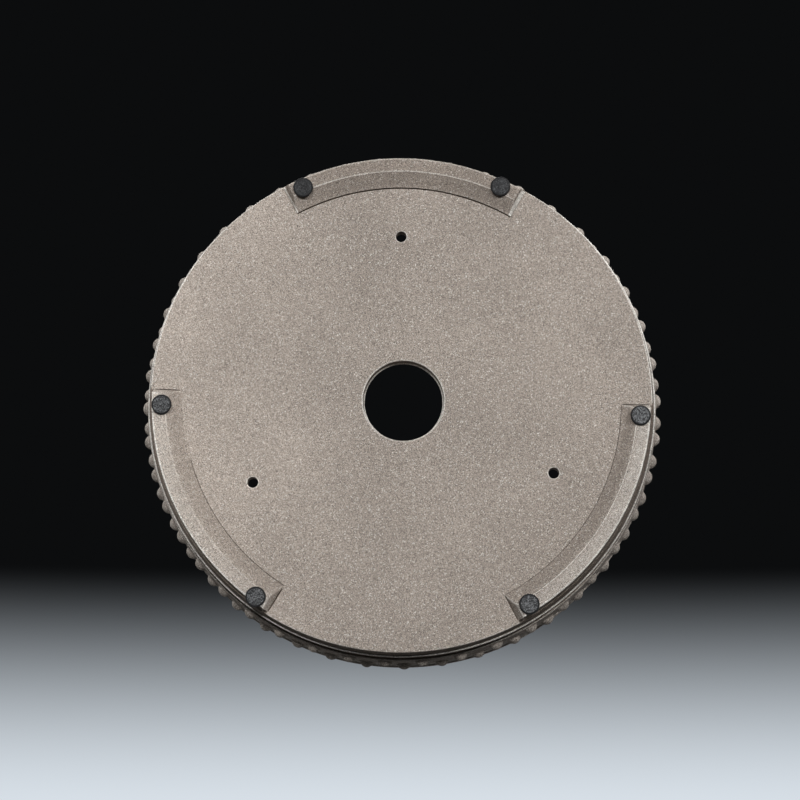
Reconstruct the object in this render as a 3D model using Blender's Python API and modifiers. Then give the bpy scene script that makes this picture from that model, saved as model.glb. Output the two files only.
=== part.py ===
"""Shallow round stoneware bonsai pot: floor, wall, rim, string lines, a belt of studs, arc feet and pads.

Sizes are in metres and angles in degrees, counter-clockwise from +X seen from above. The front is -Y, and
z = 0 is the surface that the pot stands on.
"""

import math

import bmesh
import bpy
from mathutils import Matrix, Vector

# Clearance between pieces that touch, and how far a cutter runs past what it cuts
GAP = 0.0003
OVERRUN = 0.0020

# Facets of the round forms
TURN_STEPS = 72
DRAIN_STEPS = 48
TIE_HOLE_STEPS = 16
WALL_LEVELS = 4
LINE_POINTS = 5
STUD_SEGMENTS = 8
STUD_RINGS = 6
PAD_SEGMENTS = 24

# Heights, from the pads up
PAD_THICKNESS = 0.0018
FOOT_HEIGHT = 0.0065
FLOOR_THICKNESS = 0.0080
BODY_HEIGHT = 0.0600
RIM_HEIGHT = 0.0074

# The side: it leans out from the base and is upright just under the rim
BASE_RADIUS = 0.1500
SIDE_RADIUS = 0.1543
SIDE_UPRIGHT_HEIGHT = 0.0580
WALL_THICKNESS = 0.0090
WALL_SEAT_DEPTH = 0.0015
BASE_ARRIS = 0.0008
RIM_OUTER_RADIUS = 0.1560
RIM_WIDTH = 0.0120
RIM_ROUNDING = 0.0028

# String lines, by their height above the base
LINE_HEIGHTS = {"lower_string_line": 0.0095, "upper_string_line": 0.0492}
LINE_WIDTH = 0.0024
LINE_RELIEF = 0.0010

# Stud belt and its two staggered rows
BELT_BOTTOM = 0.0180
BELT_TOP = 0.0407
BELT_RELIEF = 0.0013
BELT_ARRIS = 0.0005
STUD_ROW_HEIGHTS = (0.0244, 0.0343)
STUDS_PER_ROW = 44
STUD_RADIUS = 0.0042
STUD_RISE = 0.0031
STUD_START = -0.9
STUD_DRIFT = 4.3
STUD_DRIFT_PHASE = 5.8

# Holes in the floor
DRAIN_RADIUS = 0.0242
DRAIN_RADIUS_INSIDE = 0.0234
DRAIN_OFFSET_X = 0.0016
DRAIN_ROUNDING = 0.0013
TIE_HOLE_RADIUS = 0.0032
TIE_HOLE_ROUNDING = 0.0006
TIE_HOLE_PITCH = 0.1008
TIE_HOLE_ANGLES = (270.0, 150.7, 25.6)

# Feet and pads
FOOT_OUTER_RADIUS = 0.1482
FOOT_OUTER_ROOT = 0.1493
FOOT_FLAT_INNER = 0.1400
FOOT_INNER_ROOT = 0.1314
FOOT_INNER_EDGE = 0.0006
FOOT_END_SLOPE = 0.0034
FOOT_ENDS = {
    "foot_front": (241.3, 300.4),
    "foot_rear_left": (121.8, 182.6),
    "foot_rear_right": (1.1, 62.0),
}
PAD_RADIUS = 0.0060
PAD_ARRIS = 0.0004
PAD_PLACES = (
    (0.1423, 245.4),
    (0.1430, 294.8),
    (0.1422, 178.5),
    (0.1450, 125.6),
    (0.1426, 4.1),
    (0.1434, 58.2),
)

# Levels that follow from the heights
FOOT_BOTTOM = PAD_THICKNESS + GAP
FOOT_TOP = FOOT_BOTTOM + FOOT_HEIGHT
BASE_LEVEL = FOOT_TOP + GAP
FLOOR_LEVEL = BASE_LEVEL + FLOOR_THICKNESS
SEAT_HEIGHT = FLOOR_THICKNESS - WALL_SEAT_DEPTH
RIM_TOP = BASE_LEVEL + BODY_HEIGHT
RIM_BOTTOM = RIM_TOP - RIM_HEIGHT

STONEWARE = ("stoneware", (0.34, 0.295, 0.255), 0.85)
RUBBER = ("pad_rubber", (0.035, 0.036, 0.038), 0.75)


def side_radius(height):
    """Outer radius of the plain side at a height above the base."""
    below = (SIDE_UPRIGHT_HEIGHT - height) / SIDE_UPRIGHT_HEIGHT
    return SIDE_RADIUS - (SIDE_RADIUS - BASE_RADIUS) * below * below


def quarter(centre, radius, start, steps=3):
    """Points of a clockwise quarter arc in the profile plane, from a start angle in degrees."""
    turns = [math.radians(start - 90.0 * i / steps) for i in range(steps + 1)]
    return [(centre[0] + radius * math.cos(a), centre[1] + radius * math.sin(a)) for a in turns]


def spread(first, last, count):
    return [first + (last - first) * i / (count - 1) for i in range(count)]


def at_angle(pitch, angle, z):
    return Vector((pitch * math.cos(math.radians(angle)), pitch * math.sin(math.radians(angle)), z))


def principled(name, colour, roughness):
    material = bpy.data.materials.new(name)
    material.use_nodes = True
    shader = material.node_tree.nodes["Principled BSDF"]
    shader.inputs["Base Color"].default_value = (*colour, 1.0)
    shader.inputs["Roughness"].default_value = roughness
    shader.inputs["Metallic"].default_value = 0.0
    material.diffuse_color = (*colour, 1.0)
    return material


def place(name, mesh, material, location=(0.0, 0.0, 0.0)):
    """A part of the pot, under the pot's empty."""
    obj = bpy.data.objects.new(name, mesh)
    obj.location = location
    obj.parent = pot
    mesh.materials.append(material)
    parts.objects.link(obj)
    return obj


def helper(name, mesh, location=(0.0, 0.0, 0.0)):
    """A cutter, or a form that is joined into a part."""
    obj = bpy.data.objects.new(name, mesh)
    obj.location = location
    obj.hide_render = True
    obj.display_type = "WIRE"
    cutters.objects.link(obj)
    return obj


def outline_mesh(name, points, closed=True):
    """A profile of (radius, z) points as edges in the XZ plane."""
    mesh = bpy.data.meshes.new(name)
    count = len(points)
    edges = [(i, (i + 1) % count) for i in range(count if closed else count - 1)]
    mesh.from_pydata([(r, 0.0, z) for r, z in points], edges, [])
    return mesh


def turn(obj, steps=TURN_STEPS):
    """Turns the object's profile round its own Z axis."""
    screw = obj.modifiers.new("turn", "SCREW")
    screw.axis = "Z"
    screw.angle = math.tau
    screw.screw_offset = 0.0
    screw.steps = screw.render_steps = steps
    screw.use_smooth_shade = True
    screw.use_merge_vertices = True
    screw.merge_threshold = 0.00001
    return obj


def smooth_normals(obj):
    """Keeps flat faces flat and round ones smooth where they meet."""
    weighted = obj.modifiers.new("normals", "WEIGHTED_NORMAL")
    weighted.weight = 100


def boolean(obj, other, operation):
    modifier = obj.modifiers.new(f"{operation.lower()}_{other.name}", "BOOLEAN")
    modifier.operation = operation
    modifier.solver = "EXACT"
    modifier.object = other


def hole_cutter(name, centre, radii, rounding, steps):
    """A turned cutter for a hole through the floor, flared where the hole's lips are rounded."""
    radius, radius_inside = radii
    inside = [(0.0, FLOOR_LEVEL + OVERRUN), (radius_inside + rounding, FLOOR_LEVEL + OVERRUN)]
    upper = [(radius_inside + rounding - r, FLOOR_LEVEL - z) for r, z in lip_arc(rounding)]
    lower = [(radius + rounding - r, BASE_LEVEL + z) for r, z in reversed(lip_arc(rounding))]
    outside = [(radius + rounding, BASE_LEVEL - OVERRUN), (0.0, BASE_LEVEL - OVERRUN)]
    mesh = outline_mesh(name, inside + upper + lower + outside, closed=False)
    return turn(helper(name, mesh, centre), steps)


def lip_arc(rounding, steps=3):
    """Steps inward and along the hole over a quarter-round lip, from its edge."""
    turns = [math.radians(90.0 * i / steps) for i in range(steps + 1)]
    return [(rounding * math.sin(a), rounding * (1.0 - math.cos(a))) for a in turns]


def make_floor():
    """The floor, stepped down round its edge to a seat that the wall stands on."""
    seat_level = BASE_LEVEL + SEAT_HEIGHT
    inside = side_radius(SEAT_HEIGHT + GAP) - WALL_THICKNESS - GAP
    top = [(0.0, FLOOR_LEVEL), (inside, FLOOR_LEVEL)]
    seat = [(inside, seat_level), (side_radius(SEAT_HEIGHT), seat_level)]
    arris = quarter((BASE_RADIUS - BASE_ARRIS, BASE_LEVEL + BASE_ARRIS), BASE_ARRIS, 0.0)
    mesh = outline_mesh("floor_slab", top + seat + arris + [(0.0, BASE_LEVEL)], closed=False)
    floor = turn(place("floor_slab", mesh, stoneware))
    drain_at = (DRAIN_OFFSET_X, 0.0, 0.0)
    drain_radii = (DRAIN_RADIUS, DRAIN_RADIUS_INSIDE)
    drain = hole_cutter("drain_cutter", drain_at, drain_radii, DRAIN_ROUNDING, DRAIN_STEPS)
    boolean(floor, drain, "DIFFERENCE")
    for number, angle in enumerate(TIE_HOLE_ANGLES, 1):
        centre = at_angle(TIE_HOLE_PITCH, angle, 0.0)
        radii = (TIE_HOLE_RADIUS, TIE_HOLE_RADIUS)
        cutter = hole_cutter(f"tie_cutter_{number}", centre, radii, TIE_HOLE_ROUNDING, TIE_HOLE_STEPS)
        boolean(floor, cutter, "DIFFERENCE")
    smooth_normals(floor)


def make_wall():
    bottom, top = SEAT_HEIGHT + GAP, BODY_HEIGHT - RIM_HEIGHT - GAP
    heights = spread(top, bottom, WALL_LEVELS)
    outside = [(side_radius(h), BASE_LEVEL + h) for h in heights]
    inside = [(side_radius(h) - WALL_THICKNESS, BASE_LEVEL + h) for h in reversed(heights)]
    smooth_normals(turn(place("wall_ring", outline_mesh("wall_ring", outside + inside), stoneware)))


def make_rim():
    inner, outer = RIM_OUTER_RADIUS - RIM_WIDTH, RIM_OUTER_RADIUS
    curve, arris = RIM_ROUNDING, BASE_ARRIS
    points = quarter((outer - curve, RIM_TOP - curve), curve, 90.0)
    points += quarter((outer - arris, RIM_BOTTOM + arris), arris, 0.0, steps=2)
    points += [(inner, RIM_BOTTOM)]
    points += quarter((inner + curve, RIM_TOP - curve), curve, 180.0)
    smooth_normals(turn(place("rim_lip", outline_mesh("rim_lip", points), stoneware)))


def make_string_lines():
    """Half-round lines that lie on the side."""
    for name, middle in LINE_HEIGHTS.items():
        points = []
        for angle in spread(0.0, math.pi, LINE_POINTS):
            height = middle + LINE_WIDTH / 2 * math.cos(angle)
            out = GAP + LINE_RELIEF * math.sin(angle)
            points.append((side_radius(height) + out, BASE_LEVEL + height))
        smooth_normals(turn(place(name, outline_mesh(name, points), stoneware)))


def stud_angle(step):
    """Angle of a stud, counted in steps round the row. The hand-set spacing widens and narrows once round."""
    even = 360.0 * step / STUDS_PER_ROW
    return STUD_START + even + STUD_DRIFT * math.sin(math.radians(even - STUD_DRIFT_PHASE))


def make_studs():
    """All studs as domes that sink into the belt."""
    dome = bmesh.new()
    for row, height in enumerate(STUD_ROW_HEIGHTS):
        pitch = side_radius(height) + BELT_RELIEF + STUD_RISE - STUD_RADIUS
        for number in range(STUDS_PER_ROW):
            angle = stud_angle(number + row / 2)
            centre = at_angle(pitch, angle, BASE_LEVEL + height)
            outward = Matrix.Rotation(math.radians(angle), 4, "Z") @ Matrix.Rotation(math.pi / 2, 4, "Y")
            bmesh.ops.create_uvsphere(
                dome,
                u_segments=STUD_SEGMENTS,
                v_segments=STUD_RINGS,
                radius=STUD_RADIUS,
                matrix=Matrix.Translation(centre) @ outward,
            )
    for face in dome.faces:
        face.smooth = True
    mesh = bpy.data.meshes.new("studs")
    dome.to_mesh(mesh)
    dome.free()
    return helper("studs", mesh)


def make_belt():
    """The belt is a thick blank with the studs set in it, bored out to fit the wall."""
    between = spread(BELT_TOP, BELT_BOTTOM, WALL_LEVELS)[1:-1]
    face = [BELT_TOP - BELT_ARRIS, *between, BELT_BOTTOM + BELT_ARRIS]
    outside = [(side_radius(BELT_TOP) + BELT_RELIEF - BELT_ARRIS, BASE_LEVEL + BELT_TOP)]
    outside += [(side_radius(h) + BELT_RELIEF, BASE_LEVEL + h) for h in face]
    outside += [(side_radius(BELT_BOTTOM) + BELT_RELIEF - BELT_ARRIS, BASE_LEVEL + BELT_BOTTOM)]
    blank = [(BASE_RADIUS - WALL_THICKNESS, BASE_LEVEL + h) for h in (BELT_BOTTOM, BELT_TOP)]
    belt = turn(place("stud_belt", outline_mesh("stud_belt", outside + blank), stoneware))
    boolean(belt, make_studs(), "UNION")
    top, bottom = BELT_TOP + OVERRUN, BELT_BOTTOM - OVERRUN
    bore = [(side_radius(h) + GAP, BASE_LEVEL + h) for h in spread(top, bottom, WALL_LEVELS)]
    ends = [(0.0, BASE_LEVEL + top), (0.0, BASE_LEVEL + bottom)]
    cutter = helper("belt_bore", outline_mesh("belt_bore", [ends[0], *bore, ends[1]], closed=False))
    boolean(belt, turn(cutter), "DIFFERENCE")
    smooth_normals(belt)


def wedge_mesh(name, span):
    """A block round the +X axis that keeps one foot's length, with sides that give its ends their slope."""
    half = math.radians(span / 2)
    block = bmesh.new()
    bmesh.ops.create_cube(block, size=2.0)
    for vert in block.verts:
        x, y, z = vert.co
        reach = FOOT_OUTER_ROOT + OVERRUN if x > 0 else FOOT_INNER_ROOT - OVERRUN
        level = FOOT_TOP + OVERRUN if z > 0 else FOOT_BOTTOM - OVERRUN
        pulled = FOOT_END_SLOPE * (level - FOOT_TOP) / FOOT_HEIGHT
        radial = Vector((math.cos(half), y * math.sin(half), 0.0))
        sideways = Vector((-math.sin(half), y * math.cos(half), 0.0))
        vert.co = radial * (reach / math.cos(half) if x > 0 else reach) + sideways * pulled
        vert.co.z = level
    mesh = bpy.data.meshes.new(name)
    block.to_mesh(mesh)
    block.free()
    return mesh


def make_feet():
    points = [
        (FOOT_OUTER_ROOT, FOOT_TOP),
        *quarter((FOOT_OUTER_RADIUS - BASE_ARRIS, FOOT_BOTTOM + BASE_ARRIS), BASE_ARRIS, 0.0, steps=2),
        (FOOT_FLAT_INNER, FOOT_BOTTOM),
        (FOOT_INNER_ROOT, FOOT_TOP - FOOT_INNER_EDGE),
        (FOOT_INNER_ROOT, FOOT_TOP),
    ]
    for name, (first, last) in FOOT_ENDS.items():
        foot = turn(place(name, outline_mesh(name, points), stoneware))
        wedge = helper(f"{name}_wedge", wedge_mesh(f"{name}_wedge", last - first))
        wedge.rotation_euler.z = math.radians((first + last) / 2)
        boolean(foot, wedge, "INTERSECT")
        smooth_normals(foot)


def make_pads():
    for number, (pitch, angle) in enumerate(PAD_PLACES, 1):
        disc = bmesh.new()
        bmesh.ops.create_cone(
            disc,
            cap_ends=True,
            segments=PAD_SEGMENTS,
            radius1=PAD_RADIUS,
            radius2=PAD_RADIUS,
            depth=PAD_THICKNESS,
        )
        mesh = bpy.data.meshes.new(f"pad_{number}")
        disc.to_mesh(mesh)
        disc.free()
        mesh.shade_smooth()
        pad = place(f"pad_{number}", mesh, rubber, at_angle(pitch, angle, PAD_THICKNESS / 2))
        bevel = pad.modifiers.new("arris", "BEVEL")
        bevel.width = PAD_ARRIS
        bevel.segments = 1
        bevel.limit_method = "ANGLE"
        smooth_normals(pad)


for old in list(bpy.data.objects):
    bpy.data.objects.remove(old, do_unlink=True)

parts = bpy.data.collections.new("flower_pot")
cutters = bpy.data.collections.new("cutters")
for collection in (parts, cutters):
    bpy.context.scene.collection.children.link(collection)

pot = bpy.data.objects.new("flower_pot_origin", None)
parts.objects.link(pot)
stoneware = principled(*STONEWARE)
rubber = principled(*RUBBER)

make_floor()
make_wall()
make_rim()
make_string_lines()
make_belt()
make_feet()
make_pads()

bpy.context.view_layer.update()
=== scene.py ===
"""Looks of a shallow stoneware bonsai pot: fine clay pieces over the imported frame, finish, light, camera.

Sizes are in metres and angles in degrees, counter-clockwise from +X seen from above. The photograph looks
at the underside, so the camera stands below the pot, and the floor is one-sided.
"""

import math
import random
from collections import namedtuple

import bmesh
import bpy
from mathutils import Matrix, Vector


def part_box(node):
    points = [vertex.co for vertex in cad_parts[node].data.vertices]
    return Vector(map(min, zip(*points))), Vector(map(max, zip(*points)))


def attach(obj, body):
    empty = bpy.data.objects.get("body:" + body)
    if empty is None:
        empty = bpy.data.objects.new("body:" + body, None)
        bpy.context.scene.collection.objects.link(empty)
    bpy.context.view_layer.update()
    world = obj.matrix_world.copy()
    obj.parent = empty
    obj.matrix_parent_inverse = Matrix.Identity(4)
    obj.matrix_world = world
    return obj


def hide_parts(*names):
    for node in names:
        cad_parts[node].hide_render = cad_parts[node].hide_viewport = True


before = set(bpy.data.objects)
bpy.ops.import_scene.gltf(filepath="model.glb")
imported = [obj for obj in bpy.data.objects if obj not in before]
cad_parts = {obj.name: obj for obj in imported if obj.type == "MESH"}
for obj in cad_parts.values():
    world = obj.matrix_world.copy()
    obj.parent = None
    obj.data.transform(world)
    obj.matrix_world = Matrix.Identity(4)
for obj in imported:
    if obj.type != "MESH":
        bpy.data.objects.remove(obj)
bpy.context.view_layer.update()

# Photograph's camera: tilt from the pot's axis, distance to the base, lens and the base centre's pixel
FRAME_PIXELS = 800
CAMERA_TILT = 9.9
CAMERA_SIDE_TILT = 1.0
CAMERA_DISTANCE = 1.280
CAMERA_LENS = 96.4
SENSOR_WIDTH = 36.0
BASE_CENTRE_PIXEL = (400.7, 400.6)

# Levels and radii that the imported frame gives
BASE_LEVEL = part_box("floor_slab")[0].z
FLOOR_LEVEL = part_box("floor_slab")[1].z
WALL_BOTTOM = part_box("wall_ring")[0].z
RIM_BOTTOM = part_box("rim_lip")[0].z
RIM_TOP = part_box("rim_lip")[1].z
RIM_OUTER_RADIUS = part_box("rim_lip")[1].x
BELT_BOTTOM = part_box("stud_belt")[0].z
BELT_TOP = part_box("stud_belt")[1].z
FOOT_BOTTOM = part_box("foot_front")[0].z
FOOT_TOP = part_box("foot_front")[1].z

# Base and side. The side leans out from the base and is upright just under the rim
GAP = 0.0003
BASE_RADIUS = 0.1500
BASE_ARRIS = 0.0007
BASE_ARRIS_START = 0.05
SIDE_RADIUS = 0.1543
SIDE_UPRIGHT_HEIGHT = 0.0580
WALL_THICKNESS = 0.0090

# Hand-made unevenness: waves of the radius as (waves round the pot, height, phase), and a wave of the level
OUT_OF_ROUND = ((2, 0.00030, 0.6), (3, 0.00018, 2.1), (7, 0.00008, 0.0))
OUT_OF_LEVEL = (2, 0.00010, 1.2)

# Rim, string lines and belt. Wear is a share, where 1 is the full colour of worn clay, which painted
# highlights use too
RIM_WIDTH = 0.0120
RIM_ROUNDING = 0.0030
RIM_UNDER_ROUNDING = 0.0010
RIM_WEAR = 0.25
LINE_NODES = ("lower_string_line", "upper_string_line")
LINE_RELIEF = 0.0010
LINE_WIDTH = 0.0018
# The string lines' share is a painted highlight on their lower flank
LINE_PAINTED_HIGHLIGHT = 1.5
BELT_RELIEF = 0.0013
BELT_ARRIS = 0.0006
BELT_WEAR = 0.35
BELT_LEAST_WEAR = 0.01

# Holes in the floor. Their rims carry a painted highlight, least at the front and the rear
DRAIN_CENTRE = Vector((0.0016, 0.0, 0.0))
DRAIN_RADIUS = 0.0242
DRAIN_ROUNDING = 0.0010
DRAIN_LIP = 0.0008
DRAIN_LIP_REACH = 0.0006
DRAIN_LIP_HEIGHT = 0.0012
DRAIN_SEGMENTS = 120
TIE_HOLE_RADIUS = 0.0032
TIE_HOLE_ROUNDING = 0.0007
TIE_HOLE_PITCH = 0.1008
TIE_HOLE_ANGLES = (270.0, 150.7, 25.6)
TIE_HOLE_SEGMENTS = 48
HOLE_OVERRUN = 0.0020
HOLE_LEAST_HIGHLIGHT = 0.3

# Shares of a hole's rounding that count as its rim: outward, and into the bore
HOLE_RIM_REACH = 0.98
HOLE_RIM_DEPTH = 0.95

# Studs, in two staggered rows by their height above the base
STUD_ROWS = {"studs_lower": 0.0244, "studs_upper": 0.0343}
STUDS_PER_ROW = 44
STUD_RADIUS = 0.0044
STUD_RISE = 0.0032
STUD_WEAR = 0.12
STUD_START = -0.9
STUD_DRIFT = 4.3
STUD_DRIFT_PHASE = 5.8
STUD_SEGMENTS = 28

# A stud's profile: its first ring's slope, the easing at its last ring, its fillet and its depth in the belt
STUD_TOP_SLOPE = 12.0
STUD_FOOT_EASING = 9.0
STUD_FILLET = 0.00096
STUD_FILLET_SHARES = (0.35, 0.7, 1.0)
STUD_SINK = 0.00006

# Unevenness of single studs: in angle, in level, in width and height, and in the lean of their tops
STUD_SEED = 44
STUD_ANGLE_PLAY = 0.15
STUD_LEVEL_PLAY = 0.0002
STUD_UNEVEN = 0.05
STUD_LEAN = 0.06

# Feet
FOOT_OUTER_RADIUS = 0.1482
FOOT_OUTER_ROOT = 0.1493
FOOT_OUTER_ARRIS = 0.0013
FOOT_FLAT_INNER = 0.1400
FOOT_INNER_ROOT = 0.1314
FOOT_INNER_EDGE = 0.0006
FOOT_END_SLOPE = 0.0034
FOOT_END_EDGE = 0.0005
FOOT_END_REACH = FOOT_END_SLOPE * 1.5
FOOT_ENDS = {
    "foot_front": (241.3, 300.4),
    "foot_rear_left": (121.8, 182.6),
    "foot_rear_right": (1.1, 62.0),
}

# How each foot was finished: roundings of its arrises, their wear with a painted highlight, and the cove at
# its inner root
FOOT_ARRIS = {"foot_front": 0.0013, "foot_rear_left": 0.0024, "foot_rear_right": 0.0009}
FOOT_END_ARRIS = {"foot_front": 0.0006, "foot_rear_left": 0.0016, "foot_rear_right": 0.0014}
FOOT_WEAR_AND_HIGHLIGHT = {"foot_front": 0.6, "foot_rear_left": 0.2, "foot_rear_right": 0.8}
FOOT_OUTER_WEAR_AND_HIGHLIGHT = {"foot_front": 0.4, "foot_rear_left": 1.0, "foot_rear_right": 1.0}
FOOT_COVE = {"foot_front": 0.0, "foot_rear_left": 0.0012, "foot_rear_right": 0.0}
COVE_START = 0.6

# Tone of a foot on the scale of wear: bearing face, painted shade on the slope from outside to root, and
# where the two meet
FOOT_FACE_TONE = {"foot_front": -0.32, "foot_rear_left": 0.12, "foot_rear_right": 0.26}
FOOT_SLOPE_PAINTED_SHADES = (-0.10, -0.24)
FOOT_TONE_SPAN = (0.3, 0.7)

# Strips at the two ends of a foot painted fully pale as a painted highlight, by their width
LIT_END_WIDTHS = {"foot_front": (0.0009, 0.0022)}

# Tooled grooves in the base, by their width: along a foot's inner root, and across its ends
INNER_GROOVES = {"foot_front": 0.0008, "foot_rear_left": 0.0006, "foot_rear_right": 0.0005}
INNER_GROOVE_ENDS = dict(FOOT_ENDS, foot_rear_left=(FOOT_ENDS["foot_rear_left"][0], 164.0))
END_GROOVES = {"foot_rear_left": 0.0008, "foot_rear_right": 0.0007}
GROOVE_DEPTH = 0.0011

# Painted shade on the side, in corners and recesses and in the bores, as a share below zero on the scale of
# wear
SIDE_PAINTED_SHADE = -0.12
LOW_SIDE_PAINTED_SHADE = -0.75
CORNER_PAINTED_SHADE = -1.00
BORE_PAINTED_SHADE = -0.85
PAINTED_SHADE_REACH = 0.0045

# Pads, with the dust on each as a share of a full coat
PAD_ARRIS = 0.0008
PAD_RINGS = (0.80, 0.5, 0.2)
PAD_DUSTY_SHARE = 0.82
PAD_SEGMENTS = 64
PAD_DUST = {"pad_1": 0.2, "pad_2": 0.3, "pad_3": 0.7, "pad_4": 0.65, "pad_5": 1.0, "pad_6": 0.85}

# Fineness of the meshes, and the angles from which an edge is drawn sharp
TURN_STEPS = 288
ARC_STEPS = 6
SLAB_SIDE_STEPS = 5
WALL_STEPS = 65
WALL_INSIDE_STEPS = 8
LINE_STEPS = 17
BELT_STEPS = 25
STUD_STEPS = 8
GROOVE_STEPS = 61
END_GROOVE_STEPS = 4
FOOT_STEPS = 70
FOOT_END_STEPS = 19
FOOT_FACE_STEPS = 8
FOOT_SLOPE_STEPS = 7
COVE_SLOPE_STEPS = 5
COVE_STEPS = 7
SHARP_ANGLE = 40.0
FOOT_SHARP_ANGLE = 50.0
STUD_SHARP_ANGLE = 60.0

# Colours as linear values
CLAY_COLOUR = (0.340, 0.296, 0.259)
CLAY_DARK = (0.12, 0.100, 0.082)
# Pale colour of wear and of painted highlights
CLAY_WORN_AND_HIGHLIGHT = (0.82, 0.79, 0.74)
CLAY_SPARKLE = (0.92, 0.90, 0.86)
# Colour toward which painted shade darkens the clay
CLAY_PAINTED_SHADE = (0.110, 0.082, 0.062)
RUBBER_COLOUR = (0.022, 0.022, 0.023)
DUST_COLOUR = (0.200, 0.205, 0.212)
FLOOR_COLOUR = (0.74, 0.735, 0.725)
FLOOR_BOUNCE = (0.10, 0.10, 0.10)
# Colour of the painted shadow under the pot
FLOOR_PAINTED_SHADOW = (0.10, 0.10, 0.10)
PLAIN_WHITE = (1.0, 1.0, 1.0)
BACKDROP_TINT = (0.92, 1.0, 1.08)

# Grain of the clay: sizes of its clouds, mottles, sand, pale specks and dark grit, and what they do
CLOUD_SIZE = 0.070
MOTTLE_SIZE = 0.009
SAND_SIZE = 0.00022
SPECK_SIZE = 0.00042
GRIT_SIZE = 0.00190
NOISE_SPAN = (0.3, 0.7)
CLOUD_DETAIL = 1.5
CLOUD_ROUGHNESS = 0.45
CLOUD_TONES = (0.91, 1.09)
MOTTLE_TONES = (0.98, 1.02)
SAND_TONES = (0.15, 1.85)
SAND_ROUGHNESS = (0.72, 0.92)
SPECK_SPAN = (0.94, 0.98)
SPECK_STRENGTH = 0.75
GRIT_SPAN = (0.10, 0.18)
GRIT_STRENGTH = 0.5
GRAIN_HEIGHT = 0.00014

# Wear and painted highlights come in patches, and painted shade hides the pale specks
WORN_SPAN = (0.35, 0.65)
WORN_SHARES = (0.65, 1.0)
PAINTED_SHADE_SPAN = (-0.8, 0.0)
SPECKS_UNDER_PAINTED_SHADE = (0.15, 1.0)

# The base and the feet are paler toward the pot's left
FLASH_SPAN = (-0.13, 0.0)
FLASH_TONE = 1.24
PLAIN_TONE = 0.97
FLASH_FADE = 0.002

# Rubber: its grain, and the patches of dust on it
RUBBER_GRAIN_SIZE = 0.00050
RUBBER_GRAIN_HEIGHT = 0.0002
DUST_PATCH_SIZE = 0.005
DUST_PATCH_DETAIL = 2.0
DUST_TONES = (1.0, 2.0)
RUBBER_ROUGHNESS = (0.55, 0.95)

# Strength of the bumps and of the shine, the same for both materials
BUMP_STRENGTH = 0.5
SPECULAR_LEVEL = 0.06

# Stage floor: a painted shadow under the pot, pale paint round it, and as bright as the horizon far from it
STAGE_RADIUS = 14.0
STAGE_SEGMENTS = 96
STAGE_DROP = 0.0004
PAINTED_SHADOW_SPAN = (BASE_RADIUS - 0.03, BASE_RADIUS + 0.015)
FAR_SPAN = (0.35, 1.20)
HORIZON_LEVEL = 0.78

# Backdrop by direction: what counts as overhead, and from where to where it goes from dark to pale
OVERHEAD_SPAN = (0.45, 0.80)
BACKDROP_SPAN = (-0.095, 0.025)
BACKDROP_LEVELS = (0.004, 0.76)

# Light of the sky by direction: from the horizon up, and less of it from the rear
SKY_SPAN = (-0.02, 0.25)
SKY_LEVEL = 0.36
SKY_REAR_SPAN = (-0.5, 0.4)
SKY_REAR_SHARE = 0.32

# Soft boxes: place, target, size and level of light
POT_MIDDLE = (0.0, 0.0, 0.04)
BASE_MIDDLE = (0.0, 0.0, 0.0)
LAMPS = {
    "key_above": ((-0.7, -2.4, 2.3), POT_MIDDLE, 1.9, 0.52),
    "left_side": ((-2.2, -1.8, 1.2), POT_MIDDLE, 1.5, 0.55),
    "right_side": ((2.2, -2.1, 1.2), POT_MIDDLE, 1.5, 0.48),
    "left_of_base": ((-0.32, -0.44, -2.0), BASE_MIDDLE, 0.28, 0.53),
    "right_of_base": ((0.80, -0.42, -1.92), BASE_MIDDLE, 0.28, 0.54),
}

Hole = namedtuple("Hole", "centre radius lip rounding segments")
Stud = namedtuple("Stud", "angle level wide tall lean lean_way")


def side_radius(z):
    """Outer radius of the plain side at a level of the frame."""
    below = (SIDE_UPRIGHT_HEIGHT - (z - BASE_LEVEL)) / SIDE_UPRIGHT_HEIGHT
    return SIDE_RADIUS - (SIDE_RADIUS - BASE_RADIUS) * below * below


def belt_radius(z):
    """Outer radius of the belt at a level of the frame."""
    return side_radius(z) + BELT_RELIEF


def line_level(node):
    """Level of the middle of a string line."""
    return (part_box(node)[0].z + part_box(node)[1].z) / 2


def spread(first, last, count):
    """Evenly spaced numbers, both ends included."""
    return [first + (last - first) * i / (count - 1) for i in range(count)]


def clamped(value):
    return max(0.0, min(1.0, value))


def at_angle(pitch, angle, z=0.0):
    """The place at a radius, an angle and a level."""
    return Vector((pitch * math.cos(math.radians(angle)), pitch * math.sin(math.radians(angle)), z))


def uneven(point):
    """The small out-of-round and waviness of a hand-built pot, the same for every clay piece."""
    turn = math.atan2(point.y, point.x)
    reach = math.hypot(point.x, point.y) / BASE_RADIUS
    wave = sum(height * math.sin(waves * turn + phase) for waves, height, phase in OUT_OF_ROUND)
    grow = 1.0 + wave * reach * reach / BASE_RADIUS
    waves, height, phase = OUT_OF_LEVEL
    lift = height * math.sin(waves * turn + phase) * reach
    return Vector((point.x * grow, point.y * grow, point.z + lift))


def quarter(rounding, count):
    """A quarter round, as (distance in, distance down) from the two faces that meet there."""
    turns = [math.radians(angle) for angle in spread(0.0, 90.0, count)]
    return [(rounding * (1.0 - math.sin(a)), rounding * (1.0 - math.cos(a))) for a in turns]


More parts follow.
